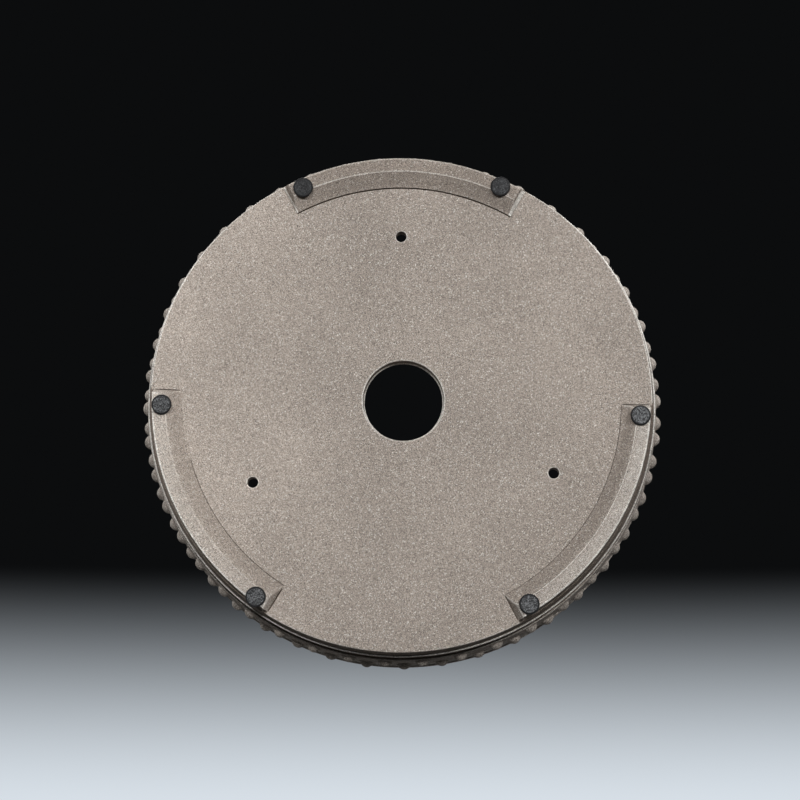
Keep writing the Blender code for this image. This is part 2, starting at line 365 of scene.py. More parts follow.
def rounded(corners):
    """Profile points (radius, z, wear) of a closed outline, from its corners (radius, z, rounding)."""
    points = []
    for i, (r, z, rounding) in enumerate(corners):
        here = Vector((r, z))
        if rounding == 0.0:
            points.append((r, z, 0.0))
            continue
        back = (Vector(corners[i - 1][:2]) - here).normalized()
        ahead = (Vector(corners[(i + 1) % len(corners)][:2]) - here).normalized()
        half = back.angle(ahead) / 2
        middle = here + (back + ahead).normalized() * (rounding / math.sin(half))
        start = here + back * (rounding / math.tan(half)) - middle
        sweep = start.angle_signed(here + ahead * (rounding / math.tan(half)) - middle)
        for step in range(ARC_STEPS + 1):
            spoke = start.copy()
            spoke.rotate(Matrix.Rotation(-sweep * step / ARC_STEPS, 2))
            wear_and_painted_light = math.sqrt(abs(math.sin(math.pi * step / ARC_STEPS)))
            points.append((*(middle + spoke), wear_and_painted_light))
    return points


def add_piece(name, mesh, slot, material, *nodes):
    """Puts a finished mesh into the scene as a piece that rides on the pot and stands for CAD nodes."""
    piece = bpy.data.objects.new(name, mesh)
    bpy.context.scene.collection.objects.link(piece)
    mesh.materials.clear()
    mesh.materials.append(material)
    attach(piece, "root")
    if nodes:
        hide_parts(*nodes)


def mesh_from(name, points, faces, wear_and_painted_light, sharp_angle=SHARP_ANGLE):
    """A smooth mesh of unevenly formed clay, with its pale used edges, painted highlights and painted shade
    as a point attribute.
    """
    mesh = bpy.data.meshes.new(name)
    mesh.from_pydata([uneven(Vector(p)) for p in points], [], faces)
    mesh.validate()
    layer = mesh.attributes.new("wear_and_painted_light", "FLOAT", "POINT")
    layer.data.foreach_set("value", wear_and_painted_light)
    mesh.shade_smooth()
    mesh.set_sharp_from_angle(angle=math.radians(sharp_angle))
    return mesh


def band_faces(rings, count, closed):
    """Faces between neighbouring rings of points. A closed band also joins its last ring to its first."""
    faces = []
    for ring in range(rings if closed else rings - 1):
        here = ring * count
        there = (ring + 1) % rings * count
        for i in range(count):
            j = (i + 1) % count
            faces.append((here + i, here + j, there + j, there + i))
    return faces


def turned(name, profile):
    """A ring with the closed profile as its section."""
    points, wear_and_painted_light = [], []
    for step in range(TURN_STEPS):
        angle = 360.0 * step / TURN_STEPS
        points += [at_angle(r, angle, z) for r, z, _ in profile]
        wear_and_painted_light += [w for _, _, w in profile]
    return mesh_from(name, points, band_faces(TURN_STEPS, len(profile), True), wear_and_painted_light)


def scratch_object(name, mesh):
    """An object for a mesh, linked into the scene."""
    obj = bpy.data.objects.new(name, mesh)
    bpy.context.scene.collection.objects.link(obj)
    return obj


def settled(obj):
    """The object's mesh with its modifiers applied. The object goes."""
    bpy.context.view_layer.update()
    evaluated = obj.evaluated_get(bpy.context.evaluated_depsgraph_get())
    mesh = bpy.data.meshes.new_from_object(evaluated)
    bpy.data.objects.remove(obj)
    return mesh


def skin(name, rings):
    """A closed object over rings of places, all of the same count, with flat ends."""
    shape = bmesh.new()
    loops = [[shape.verts.new(place) for place in ring] for ring in rings]
    for here, there in zip(loops, loops[1:]):
        for i in range(len(here)):
            j = (i + 1) % len(here)
            shape.faces.new((here[i], there[i], there[j], here[j]))
    shape.faces.new(loops[0])
    shape.faces.new(list(reversed(loops[-1])))
    bmesh.ops.recalc_face_normals(shape, faces=shape.faces)
    mesh = bpy.data.meshes.new(name)
    shape.to_mesh(mesh)
    shape.free()
    return scratch_object(name, mesh)


def plug(name, centre, profile, segments):
    """A solid turned round an upright axis through centre, from (radius, z) points down its side."""
    turns = [360.0 * s / segments for s in range(segments)]
    return skin(name, [[centre + at_angle(r, angle, z) for angle in turns] for r, z in profile])


def floor_holes():
    """The drain and the three tie holes."""
    holes = [Hole(DRAIN_CENTRE, DRAIN_RADIUS, DRAIN_LIP, DRAIN_ROUNDING, DRAIN_SEGMENTS)]
    for angle in TIE_HOLE_ANGLES:
        centre = at_angle(TIE_HOLE_PITCH, angle)
        holes.append(Hole(centre, TIE_HOLE_RADIUS, 0.0, TIE_HOLE_ROUNDING, TIE_HOLE_SEGMENTS))
    return holes


def hole_plug(name, hole):
    """A cutter for a hole, flared at its rounded rims, with a lip at the inner end of the drain's bore."""
    arc = quarter(hole.rounding, ARC_STEPS + 2)
    inner = hole.radius - hole.lip
    profile = [(inner + hole.rounding, FLOOR_LEVEL + HOLE_OVERRUN)]
    profile += [(inner + r, FLOOR_LEVEL - z) for r, z in arc]
    if hole.lip:
        ends = FLOOR_LEVEL - hole.rounding - DRAIN_LIP_HEIGHT
        profile += [(inner + DRAIN_LIP_REACH, ends), (inner + DRAIN_LIP_REACH, ends - GAP)]
    profile += [(hole.radius + r, BASE_LEVEL + z) for r, z in reversed(arc)]
    profile += [(hole.radius + hole.rounding, BASE_LEVEL - HOLE_OVERRUN)]
    return plug(name, hole.centre, profile, hole.segments)


def hole_highlight_and_shade(point, hole):
    """Tone at a hole: a painted highlight on its outer rim and on its bore's lip, and painted shade in the
    bore.
    """
    reach = math.hypot(point.x - hole.centre.x, point.y - hole.centre.y)
    if reach > hole.radius + hole.rounding * HOLE_RIM_REACH:
        return 0.0
    # The rim's painted highlight is strongest at the hole's left and right
    aside = abs(point.x - hole.centre.x) / reach
    rubbed_and_lit = HOLE_LEAST_HIGHLIGHT + (1.0 - HOLE_LEAST_HIGHLIGHT) * aside
    if point.z < BASE_LEVEL + hole.rounding * HOLE_RIM_DEPTH:
        return rubbed_and_lit * math.sin(math.pi * max(0.0, reach - hole.radius) / hole.rounding)
    if point.z > FLOOR_LEVEL - hole.rounding * HOLE_RIM_DEPTH:
        return 0.0
    # A painted highlight on the drain's lip, and painted shade in the bore
    on_lip = hole.lip and point.z > FLOOR_LEVEL - hole.rounding - DRAIN_LIP_HEIGHT - GAP / 2
    return rubbed_and_lit if on_lip else BORE_PAINTED_SHADE


def groove_cutter(name, path, width):
    """A cutter for a groove in the base, from places along one edge, each with the way to the other."""
    section = [(0.0, -HOLE_OVERRUN), (0.0, GROOVE_DEPTH), (width, GROOVE_DEPTH), (width + GAP, -HOLE_OVERRUN)]
    rings = []
    for place, way in path:
        rings.append([place + way * out + Vector((0.0, 0.0, BASE_LEVEL + z)) for out, z in section])
    return skin(name, rings)


def groove_cutters():
    """Cutters for the grooves along the feet's inner roots and across the ends of two feet."""
    cutters = []
    for node, width in INNER_GROOVES.items():
        angles = spread(*INNER_GROOVE_ENDS[node], GROOVE_STEPS)
        root = FOOT_INNER_ROOT - FOOT_COVE[node] + GAP
        path = [(at_angle(root, angle), at_angle(-1.0, angle)) for angle in angles]
        cutters.append(groove_cutter(f"{node}_inner_groove", path, width))
    for node, width in END_GROOVES.items():
        for angle, outward in zip(FOOT_ENDS[node], (-1.0, 1.0)):
            way = at_angle(1.0, angle + 90.0 * outward)
            radii = spread(FOOT_INNER_ROOT + width, FOOT_OUTER_RADIUS - width, END_GROOVE_STEPS)
            path = [(at_angle(r, angle) - way * GAP, way) for r in radii]
            cutters.append(groove_cutter(f"{node}_end_groove_{angle:.0f}", path, width))
    return cutters


def floor_highlight_and_shade(point, holes):
    """Tone at a point of the slab: painted shade in its grooves, bores and side, painted highlights at holes
    and lower arris.
    """
    reach = math.hypot(point.x, point.y)
    deep = BASE_LEVEL + GAP < point.z < BASE_LEVEL + GROOVE_DEPTH + GAP
    # Painted shade in the grooves beside the feet
    if deep and FOOT_INNER_ROOT - GROOVE_DEPTH * 2 < reach < FOOT_OUTER_RADIUS:
        return CORNER_PAINTED_SHADE
    edge = (reach - BASE_RADIUS + BASE_ARRIS) / BASE_ARRIS
    if edge <= BASE_ARRIS_START or point.z >= WALL_BOTTOM:
        return sum(hole_highlight_and_shade(point, hole) for hole in holes)
    turn = math.degrees(math.atan2(point.y, point.x)) % 360.0
    beside_foot = any(first < turn < last for first, last in FOOT_ENDS.values())
    # Painted shade on the slab's side
    if beside_foot or edge >= 1.0:
        return LOW_SIDE_PAINTED_SHADE
    # The lower arris carries a painted highlight, strongest at the pot's left and right
    return abs(point.x) / BASE_RADIUS * math.sqrt(abs(math.sin(math.pi * edge)))


def make_floor(clay):
    """The slab, cut by its holes and grooves, with a step at its edge for the wall."""
    seat_level = WALL_BOTTOM - GAP
    inside = side_radius(WALL_BOTTOM) - WALL_THICKNESS - GAP
    top = [(inside, FLOOR_LEVEL), (inside, seat_level)]
    side = [(side_radius(z), z) for z in spread(seat_level, BASE_LEVEL + BASE_ARRIS, SLAB_SIDE_STEPS)[:-1]]
    arris = [(BASE_RADIUS - z, BASE_LEVEL + r) for r, z in quarter(BASE_ARRIS, ARC_STEPS + 1)]
    slab = plug("floor_slab_form", Vector(), top + side + arris, TURN_STEPS)
    holes = floor_holes()
    cutters = [hole_plug(f"hole_{number}", hole) for number, hole in enumerate(holes)]
    cutters += groove_cutters()
    for cutter in cutters:
        cut = slab.modifiers.new(cutter.name, "BOOLEAN")
        cut.operation = "DIFFERENCE"
        cut.solver = "EXACT"
        cut.object = cutter
    mesh = settled(slab)
    for cutter in cutters:
        bpy.data.objects.remove(cutter)
    wear_and_painted_light = [floor_highlight_and_shade(vert.co, holes) for vert in mesh.vertices]
    points = [tuple(vert.co) for vert in mesh.vertices]
    faces = [tuple(face.vertices) for face in mesh.polygons]
    fine = scratch_object("floor_slab_fine", mesh_from("floor_slab_fine", points, faces, wear_and_painted_light))
    weighted = fine.modifiers.new("weighted", "WEIGHTED_NORMAL")
    weighted.keep_sharp = True
    add_piece("floor_slab_clay", settled(fine), "stoneware", clay, "floor_slab")


def make_wall(clay):
    """The wall. Its outside carries painted shade, most in the corners beside the lines and the belt."""
    bottom = WALL_BOTTOM - GAP
    corners = [BELT_BOTTOM, BELT_TOP]
    for node in LINE_NODES:
        corners += [line_level(node) - LINE_WIDTH / 2, line_level(node) + LINE_WIDTH / 2]
    outside = []
    for z in spread(RIM_BOTTOM, bottom, WALL_STEPS):
        near = max(0.0, 1.0 - min(abs(z - corner) for corner in corners) / PAINTED_SHADE_REACH)
        # Painted shade: darker below the belt, deepest in the corners
        side_shade = LOW_SIDE_PAINTED_SHADE if z < BELT_BOTTOM else SIDE_PAINTED_SHADE
        outside.append((side_radius(z), z, side_shade + (CORNER_PAINTED_SHADE - side_shade) * near * near))
    levels = spread(bottom, RIM_BOTTOM, WALL_INSIDE_STEPS)
    inside = [(side_radius(z) - WALL_THICKNESS, z, 0.0) for z in levels]
    add_piece("wall_clay", turned("wall_clay", outside + inside), "stoneware", clay, "wall_ring")


def make_rim(clay):
    """The rounded ring on top of the wall."""
    inner = RIM_OUTER_RADIUS - RIM_WIDTH
    corners = [
        (RIM_OUTER_RADIUS, RIM_TOP, RIM_ROUNDING),
        (RIM_OUTER_RADIUS, RIM_BOTTOM, RIM_UNDER_ROUNDING),
        (inner, RIM_BOTTOM, RIM_UNDER_ROUNDING),
        (inner, RIM_TOP, RIM_ROUNDING),
    ]
    profile = [(r, z, worn_and_painted_light * RIM_WEAR) for r, z, worn_and_painted_light in rounded(corners)]
    add_piece("rim_clay", turned("rim_clay", profile), "stoneware", clay, "rim_lip")


def make_lines(clay):
    """Half-round string lines, with a painted highlight on the lower flank and painted shade where they meet
    the wall.
    """
    for node in LINE_NODES:
        middle = line_level(node)
        profile = []
        for turn in spread(0.0, math.pi, LINE_STEPS):
            z = middle + LINE_WIDTH / 2 * math.cos(turn)
            out = math.sin(turn)
            # A painted highlight on the lower flank, and painted shade at the line's roots
            worn_and_painted_light = LINE_PAINTED_HIGHLIGHT * max(0.0, -math.sin(2 * turn)) + CORNER_PAINTED_SHADE * (1.0 - out) ** 3
            profile.append((side_radius(z) + LINE_RELIEF * out, z, worn_and_painted_light))
        add_piece(f"{node}_clay", turned(f"{node}_clay", profile), "stoneware", clay, node)


def make_belt(clay):
    """The thin belt that carries the studs, pale from use on its arrises, with painted shade on its face and
    where it meets the wall.
    """
    levels = spread(BELT_TOP, BELT_BOTTOM, BELT_STEPS)
    outside = [(belt_radius(z), z, BELT_ARRIS if z in (BELT_TOP, BELT_BOTTOM) else 0.0) for z in levels]
    inside = [(side_radius(z), z, 0.0) for z in reversed(levels)]
    profile = []
    for r, z, worn_and_painted_light in rounded(outside + inside):
        # Painted shade on the belt's face, darkest where it meets the wall
        bare = CORNER_PAINTED_SHADE if r < side_radius(z) + GAP else SIDE_PAINTED_SHADE
        profile.append((r, z, worn_and_painted_light * BELT_WEAR if worn_and_painted_light > BELT_LEAST_WEAR else bare))
    add_piece("belt_clay", turned("belt_clay", profile), "stoneware", clay, "stud_belt")


def stud_angle(step):
    """Angle of a stud, counted in steps round the row. The spacing widens and narrows once round."""
    even = 360.0 * step / STUDS_PER_ROW
    return STUD_START + even + STUD_DRIFT * math.sin(math.radians(even - STUD_DRIFT_PHASE))


def stud_profile():
    """(distance from the stud's middle, height, wear) below its top, down to the skirt in the belt."""
    sphere = (STUD_RADIUS ** 2 + STUD_RISE ** 2) / (2 * STUD_RISE)
    sunk = sphere - STUD_RISE
    steepest = math.degrees(math.acos(sunk / sphere))
    points = []
    for angle in spread(STUD_TOP_SLOPE, steepest - STUD_FOOT_EASING, STUD_STEPS):
        reach = sphere * math.sin(math.radians(angle))
        height = sphere * math.cos(math.radians(angle)) - sunk
        points.append((reach, height, STUD_WEAR))
    foot, low, _ = points[-1]
    for share in STUD_FILLET_SHARES:
        points.append((foot + STUD_FILLET * share, low * (1.0 - share) ** 2 - STUD_SINK * share, 0.0))
    return points


def draw_stud(draws, step, height):
    """One stud as a hand sets it."""
    angle = stud_angle(step) + draws.uniform(-STUD_ANGLE_PLAY, STUD_ANGLE_PLAY)
    level = BASE_LEVEL + height + draws.uniform(-STUD_LEVEL_PLAY, STUD_LEVEL_PLAY)
    wide = 1.0 + draws.uniform(-STUD_UNEVEN, STUD_UNEVEN)
    tall = 1.0 + draws.uniform(-STUD_UNEVEN, STUD_UNEVEN)
    lean = draws.uniform(0.0, STUD_LEAN)
    lean_way = draws.uniform(0.0, 360.0)
    return Stud(angle, level, wide, tall, lean, lean_way)


def on_stud(stud, distance, way, height):
    """The place on a stud at a distance and a way from its middle and a height over the belt."""
    reach = distance * stud.wide
    along = reach * math.cos(math.radians(way))
    z = stud.level + reach * math.sin(math.radians(way))
    tilt = 1.0 + stud.lean * math.cos(math.radians(way - stud.lean_way)) * reach / STUD_RADIUS
    r = belt_radius(z) + height * stud.tall * tilt
    return at_angle(r, stud.angle + math.degrees(along / r), z)


def make_studs(clay):
    """Two rows of domed studs, each a closed body that is sunk a little into the belt."""
    draws = random.Random(STUD_SEED)
    profile = stud_profile()
    ways = [360.0 * s / STUD_SEGMENTS for s in range(STUD_SEGMENTS)]
    for row, (name, height) in enumerate(STUD_ROWS.items()):
        points, faces, wear_and_painted_light = [], [], []
        for number in range(STUDS_PER_ROW):
            stud = draw_stud(draws, number + row / 2, height)
            first = len(points)
            points.append(on_stud(stud, 0.0, 0.0, STUD_RISE))
            wear_and_painted_light.append(STUD_WEAR)
            for distance, rise, worn_and_painted_light in profile:
                points += [on_stud(stud, distance, way, rise) for way in ways]
                wear_and_painted_light += [worn_and_painted_light] * STUD_SEGMENTS
            for s in range(STUD_SEGMENTS):
                t = (s + 1) % STUD_SEGMENTS
                faces.append((first, first + 1 + s, first + 1 + t))
                for ring in range(len(profile) - 1):
                    upper = first + 1 + ring * STUD_SEGMENTS
                    lower = upper + STUD_SEGMENTS
                    faces.append((upper + s, lower + s, lower + t, upper + t))
            last = first + 1 + (len(profile) - 1) * STUD_SEGMENTS
            faces.append(tuple(last + s for s in reversed(range(STUD_SEGMENTS))))
        mesh = mesh_from(name, points, faces, wear_and_painted_light, STUD_SHARP_ANGLE)
        add_piece(name, mesh, "stoneware", clay)


def on_slope(share):
    """Corner on a foot's inner slope, by its share of the way from the bearing face to the root."""
    r = FOOT_FLAT_INNER + (FOOT_INNER_ROOT - FOOT_FLAT_INNER) * share
    z = FOOT_BOTTOM + (FOOT_TOP - FOOT_BOTTOM) * share
    return (r, z, 0.0)


def foot_section(node):
    """Closed section (radius, z, wear) of a foot, from its outer root by the bearing face to the inner."""
    corners = [(FOOT_OUTER_ROOT, FOOT_TOP, 0.0), (FOOT_OUTER_RADIUS, FOOT_BOTTOM, FOOT_OUTER_ARRIS)]
    radii = spread(FOOT_OUTER_RADIUS, FOOT_FLAT_INNER, FOOT_FACE_STEPS)
    corners += [(r, FOOT_BOTTOM, 0.0) for r in radii[1:-1]]
    corners += [(FOOT_FLAT_INNER, FOOT_BOTTOM, FOOT_ARRIS[node])]
    cove = FOOT_COVE[node]
    if cove:
        corners += [on_slope(share) for share in spread(0.0, COVE_START, COVE_SLOPE_STEPS)[1:]]
        tail = (FOOT_INNER_ROOT - cove, BASE_LEVEL + GAP / 2, 0.0)
        bend = (on_slope(COVE_START), on_slope(1.0), tail)
        for t in spread(0.0, 1.0, COVE_STEPS)[1:]:
            weights = ((1 - t) ** 2, 2 * t * (1 - t), t * t)
            corners.append(tuple(sum(w * p[i] for w, p in zip(weights, bend)) for i in range(3)))
    else:
        corners += [on_slope(share) for share in spread(0.0, 1.0, FOOT_SLOPE_STEPS)[1:-1]]
        corners += [(FOOT_INNER_ROOT, FOOT_TOP - FOOT_INNER_EDGE, 0.0), (FOOT_INNER_ROOT, FOOT_TOP, 0.0)]
    return rounded(corners)


def foot_tone(node, r, angle):
    """Tone of a foot's faces: the bearing face, darker on the front foot, paler to the left and right on the
    others, and the slope's painted shade.
    """
    # The foot's outer root takes the painted shade of the lower side
    if r > FOOT_OUTER_RADIUS:
        return LOW_SIDE_PAINTED_SHADE
    inward = (FOOT_OUTER_RADIUS - r) / (FOOT_OUTER_RADIUS - FOOT_INNER_ROOT)
    start, end = FOOT_TONE_SPAN
    share = clamped((inward - start) / (end - start))
    face = FOOT_FACE_TONE[node]
    if face > 0.0:
        face *= abs(math.cos(math.radians(angle)))
    # Painted shade on the slope, darkest at its root
    outside, root = FOOT_SLOPE_PAINTED_SHADES
    slope = outside + (root - outside) * inward
    return face + (slope - face) * share * share * (3.0 - 2.0 * share)


def foot_stations(length):
    """Distances along a foot, close together at its sloping ends."""
    near = spread(0.0, FOOT_END_REACH, FOOT_END_STEPS)
    far = [length - a for a in reversed(near)]
    return near + spread(FOOT_END_REACH, length - FOOT_END_REACH, FOOT_STEPS)[1:-1] + far


def make_feet(clay):
    """Arc feet: one rounded section carried along the arc, and cut by the slope of the two ends."""
    for node, (first, last) in FOOT_ENDS.items():
        section = foot_section(node)
        length = math.radians(last - first) * FOOT_OUTER_RADIUS
        along = foot_stations(length)
        end_arris = FOOT_END_ARRIS[node]
        lit_ends = LIT_END_WIDTHS.get(node, (0.0, 0.0))
        points, wear_and_painted_light = [], []
        for a in along:
            angle = first + math.degrees(a / FOOT_OUTER_RADIUS)
            inward = min(a, length - a)
            rise = FOOT_TOP - FOOT_END_EDGE - inward / FOOT_END_SLOPE * (FOOT_TOP - FOOT_BOTTOM)
            # Strips at the foot's ends are painted fully pale: a painted highlight
            lit_end = inward < lit_ends[a > length / 2]
            for r, z, worn_and_painted_light in section:
                standing = z < FOOT_TOP - GAP
                outer = r > (FOOT_FLAT_INNER + FOOT_OUTER_RADIUS) / 2
                strength = FOOT_OUTER_WEAR_AND_HIGHLIGHT[node] if outer else FOOT_WEAR_AND_HIGHLIGHT[node]
                tone = foot_tone(node, r, angle)
                blend = clamped(0.5 + (rise - z) / (2 * end_arris))
                cut = z + (rise - z) * blend + end_arris * blend * (1.0 - blend)
                points.append(at_angle(r, angle, min(cut, FOOT_TOP) if standing else z))
                arris = 1.0 - abs(2.0 * blend - 1.0) if standing else 0.0
                # Pale arrises: wear with a painted highlight
                rubbed_and_lit = strength * max(arris, worn_and_painted_light * (1.0 - blend))
                wear_and_painted_light.append(1.0 if lit_end else tone + rubbed_and_lit * (1.0 - tone))
        count = len(section)
        faces = [tuple(reversed(range(count))), tuple(range(len(points) - count, len(points)))]
        faces += band_faces(len(along), count, False)
        mesh = mesh_from(f"{node}_clay", points, faces, wear_and_painted_light, FOOT_SHARP_ANGLE)
        add_piece(f"{node}_clay", mesh, "stoneware", clay, node)


def make_pads(rubber):
    """Round pads, black at the side and dusty on the face."""
    for node, dust in PAD_DUST.items():
        low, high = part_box(node)
        centre = Vector(((low.x + high.x) / 2, (low.y + high.y) / 2, 0.0))
        radius = (high.x - low.x) / 2
        top = [(radius - r, high.z - z) for r, z in quarter(PAD_ARRIS, ARC_STEPS)]
        under = [(r, low.z + high.z - z) for r, z in reversed(top)]
        face = [(radius * share, low.z) for share in PAD_RINGS]
        mesh = settled(plug(f"{node}_form", centre, top + under + face, PAD_SEGMENTS))
        layer = mesh.attributes.new("dust", "FLOAT", "POINT")
        for vert, value in zip(mesh.vertices, layer.data):
            reach = math.hypot(vert.co.x - centre.x, vert.co.y - centre.y) / radius
            value.value = dust if reach < PAD_DUSTY_SHARE else 0.0
        mesh.shade_smooth()
        mesh.set_sharp_from_angle(angle=math.radians(SHARP_ANGLE))
        add_piece(f"{node}_rubber", mesh, "pad_rubber", rubber, node)


class Nodes:
    """Short calls for building a node tree."""

    def __init__(self, tree):
        self.tree = tree
        tree.nodes.clear()

    def add(self, kind, **settings):
        node = self.tree.nodes.new(kind)
        for key, value in settings.items():
            setattr(node, key, value)
        return node

    def put(self, value, socket):
        """Links another node's output to a socket, or sets the socket to a number or a colour."""
        if isinstance(value, bpy.types.NodeSocket):
            self.tree.links.new(value, socket)
        elif socket.type == "RGBA":
            socket.default_value = (*value, 1.0)
        else:
            socket.default_value = value

    def math(self, operation, first, second=0.0, clamp=False):
        node = self.add("ShaderNodeMath", operation=operation, use_clamp=clamp)
        self.put(first, node.inputs[0])
        self.put(second, node.inputs[1])
        return node.outputs[0]

    def times(self, first, second, clamp=False):
        return self.math("MULTIPLY", first, second, clamp)

    def ranged(self, value, low, high, to_low, to_high, smooth=False):
        """A value's place between low and high, carried over to another range."""
        node = self.add("ShaderNodeMapRange", clamp=True)
        node.interpolation_type = "SMOOTHSTEP" if smooth else "LINEAR"
        for socket, number in zip(node.inputs[:5], (value, low, high, to_low, to_high)):
            self.put(number, socket)
        return node.outputs[0]

    def mixed(self, factor, first, second, blend="MIX"):
        """A mix of two colours."""
        node = self.add("ShaderNodeMix", data_type="RGBA", blend_type=blend)
        self.put(factor, node.inputs[0])
        self.put(first, node.inputs[6])
        self.put(second, node.inputs[7])
        return node.outputs[2]

    def mixed_shader(self, factor, first, second):
        node = self.add("ShaderNodeMixShader")
        for socket, value in zip(node.inputs, (factor, first, second)):
            self.put(value, socket)
        return node.outputs[0]

    def noise(self, where, size, detail=3.0, roughness=0.55):
        node = self.add("ShaderNodeTexNoise")
        self.put(where, node.inputs["Vector"])
        node.inputs["Scale"].default_value = 1.0 / size
        node.inputs["Detail"].default_value = detail
        node.inputs["Roughness"].default_value = roughness
        return node.outputs["Fac"]

    def grains(self, where, size):
        node = self.add("ShaderNodeTexVoronoi", feature="F1")
        self.put(where, node.inputs["Vector"])
        node.inputs["Scale"].default_value = 1.0 / size
        return node.outputs

    def cells(self, where, size):
        """A random number for each grain of a given size."""
        split = self.add("ShaderNodeSeparateColor")
        self.put(self.grains(where, size)["Color"], split.inputs[0])
        return split.outputs[0]

    def grit(self, where, size):
        """Distance from the middle of the nearest grain, as a share of the grains' size."""
        return self.grains(where, size)["Distance"]

    def bump(self, height, distance):
        node = self.add("ShaderNodeBump")
        node.inputs["Strength"].default_value = BUMP_STRENGTH
        node.inputs["Distance"].default_value = distance
        self.put(height, node.inputs["Height"])
        return node.outputs["Normal"]

    def place(self):
        return self.add("ShaderNodeTexCoord").outputs["Object"]

    def split(self, vector):
        node = self.add("ShaderNodeSeparateXYZ")
        self.put(vector, node.inputs[0])
        return node.outputs

    def attribute(self, name):
        return self.add("ShaderNodeAttribute", attribute_name=name).outputs["Fac"]

    def seen(self):
        """1 for rays that see things as the camera does, and 0 for rays that only carry light."""
        path = self.add("ShaderNodeLightPath").outputs
        seen = self.math("MAXIMUM", path["Is Camera Ray"], path["Is Glossy Ray"])
        return self.math("MAXIMUM", seen, path["Is Transmission Ray"])

    def finish(self, kind, shader):
        self.put(shader, self.add(kind).inputs["Surface"])


def new_material(name):
    """A new material and the calls for its node tree."""
    material = bpy.data.materials.new(name)
    material.use_nodes = True
    return material, Nodes(material.node_tree)


def surface(nodes, colour, roughness, normal):
    """A matte surface."""
    shader = nodes.add("ShaderNodeBsdfPrincipled")
    nodes.put(colour, shader.inputs["Base Color"])
    nodes.put(roughness, shader.inputs["Roughness"])
    nodes.put(normal, shader.inputs["Normal"])
    shader.inputs["Specular IOR Level"].default_value = SPECULAR_LEVEL
    nodes.finish("ShaderNodeOutputMaterial", shader.outputs[0])


def clay_material():
    """Sandy unglazed clay: pale and dark grains in a mottled body, paler at used edges and painted
    highlights, darker under painted shade.
    """
    material, nodes = new_material("sandy_stoneware")
    where = nodes.place()
    cloud = nodes.noise(where, CLOUD_SIZE, CLOUD_DETAIL, CLOUD_ROUGHNESS)
    mottle = nodes.noise(where, MOTTLE_SIZE)
    sand = nodes.cells(where, SAND_SIZE)
    pale = nodes.ranged(nodes.cells(where, SPECK_SIZE), *SPECK_SPAN, 0.0, SPECK_STRENGTH)
    dark = nodes.ranged(nodes.grit(where, GRIT_SIZE), *GRIT_SPAN, GRIT_STRENGTH, 0.0)
    worn_and_painted_light = nodes.attribute("wear_and_painted_light")
    across, _, up = nodes.split(where)
    flash = nodes.ranged(across, *FLASH_SPAN, FLASH_TONE, PLAIN_TONE, True)
    flash = nodes.ranged(up, BASE_LEVEL, BASE_LEVEL + FLASH_FADE, flash, PLAIN_TONE)

    tone = nodes.ranged(cloud, *NOISE_SPAN, *CLOUD_TONES)
    tone = nodes.times(tone, nodes.ranged(mottle, *NOISE_SPAN, *MOTTLE_TONES))
    tone = nodes.times(tone, nodes.ranged(sand, 0.0, 1.0, *SAND_TONES))
    tone = nodes.times(tone, flash)
    grey = nodes.add("ShaderNodeCombineColor")
    for socket in grey.inputs[:3]:
        nodes.put(tone, socket)

    # Above zero the attribute is wear and painted highlight; below zero it is painted shade, which also hides
    # the pale specks
    rubbed_and_lit = nodes.times(worn_and_painted_light, nodes.ranged(mottle, *WORN_SPAN, *WORN_SHARES), clamp=True)
    unshaded = nodes.ranged(worn_and_painted_light, *PAINTED_SHADE_SPAN, *SPECKS_UNDER_PAINTED_SHADE)
    body = nodes.mixed(rubbed_and_lit, CLAY_COLOUR, CLAY_WORN_AND_HIGHLIGHT)
    body = nodes.mixed(nodes.ranged(worn_and_painted_light, -1.0, 0.0, 1.0, 0.0), body, CLAY_PAINTED_SHADE)
    body = nodes.mixed(1.0, body, grey.outputs[0], "MULTIPLY")
    body = nodes.mixed(nodes.times(pale, unshaded), body, CLAY_SPARKLE)
    body = nodes.mixed(dark, body, CLAY_DARK)

    normal = nodes.bump(nodes.math("ADD", sand, pale), GRAIN_HEIGHT)
    surface(nodes, body, nodes.ranged(sand, 0.0, 1.0, *SAND_ROUGHNESS), normal)
    return material


def rubber_material():
    """Matte black rubber with specks of dust on its face."""
    material, nodes = new_material("pad_rubber_black")
    where = nodes.place()
    grain = nodes.cells(where, RUBBER_GRAIN_SIZE)
    patch = nodes.noise(where, DUST_PATCH_SIZE, DUST_PATCH_DETAIL)
    specks = nodes.times(nodes.times(grain, grain), nodes.ranged(patch, *NOISE_SPAN, *DUST_TONES))
    coat = nodes.times(nodes.attribute("dust"), specks, clamp=True)
    colour = nodes.mixed(coat, RUBBER_COLOUR, DUST_COLOUR)
    roughness = nodes.ranged(coat, 0.0, 1.0, *RUBBER_ROUGHNESS)
    surface(nodes, colour, roughness, nodes.bump(grain, RUBBER_GRAIN_HEIGHT))
    return material


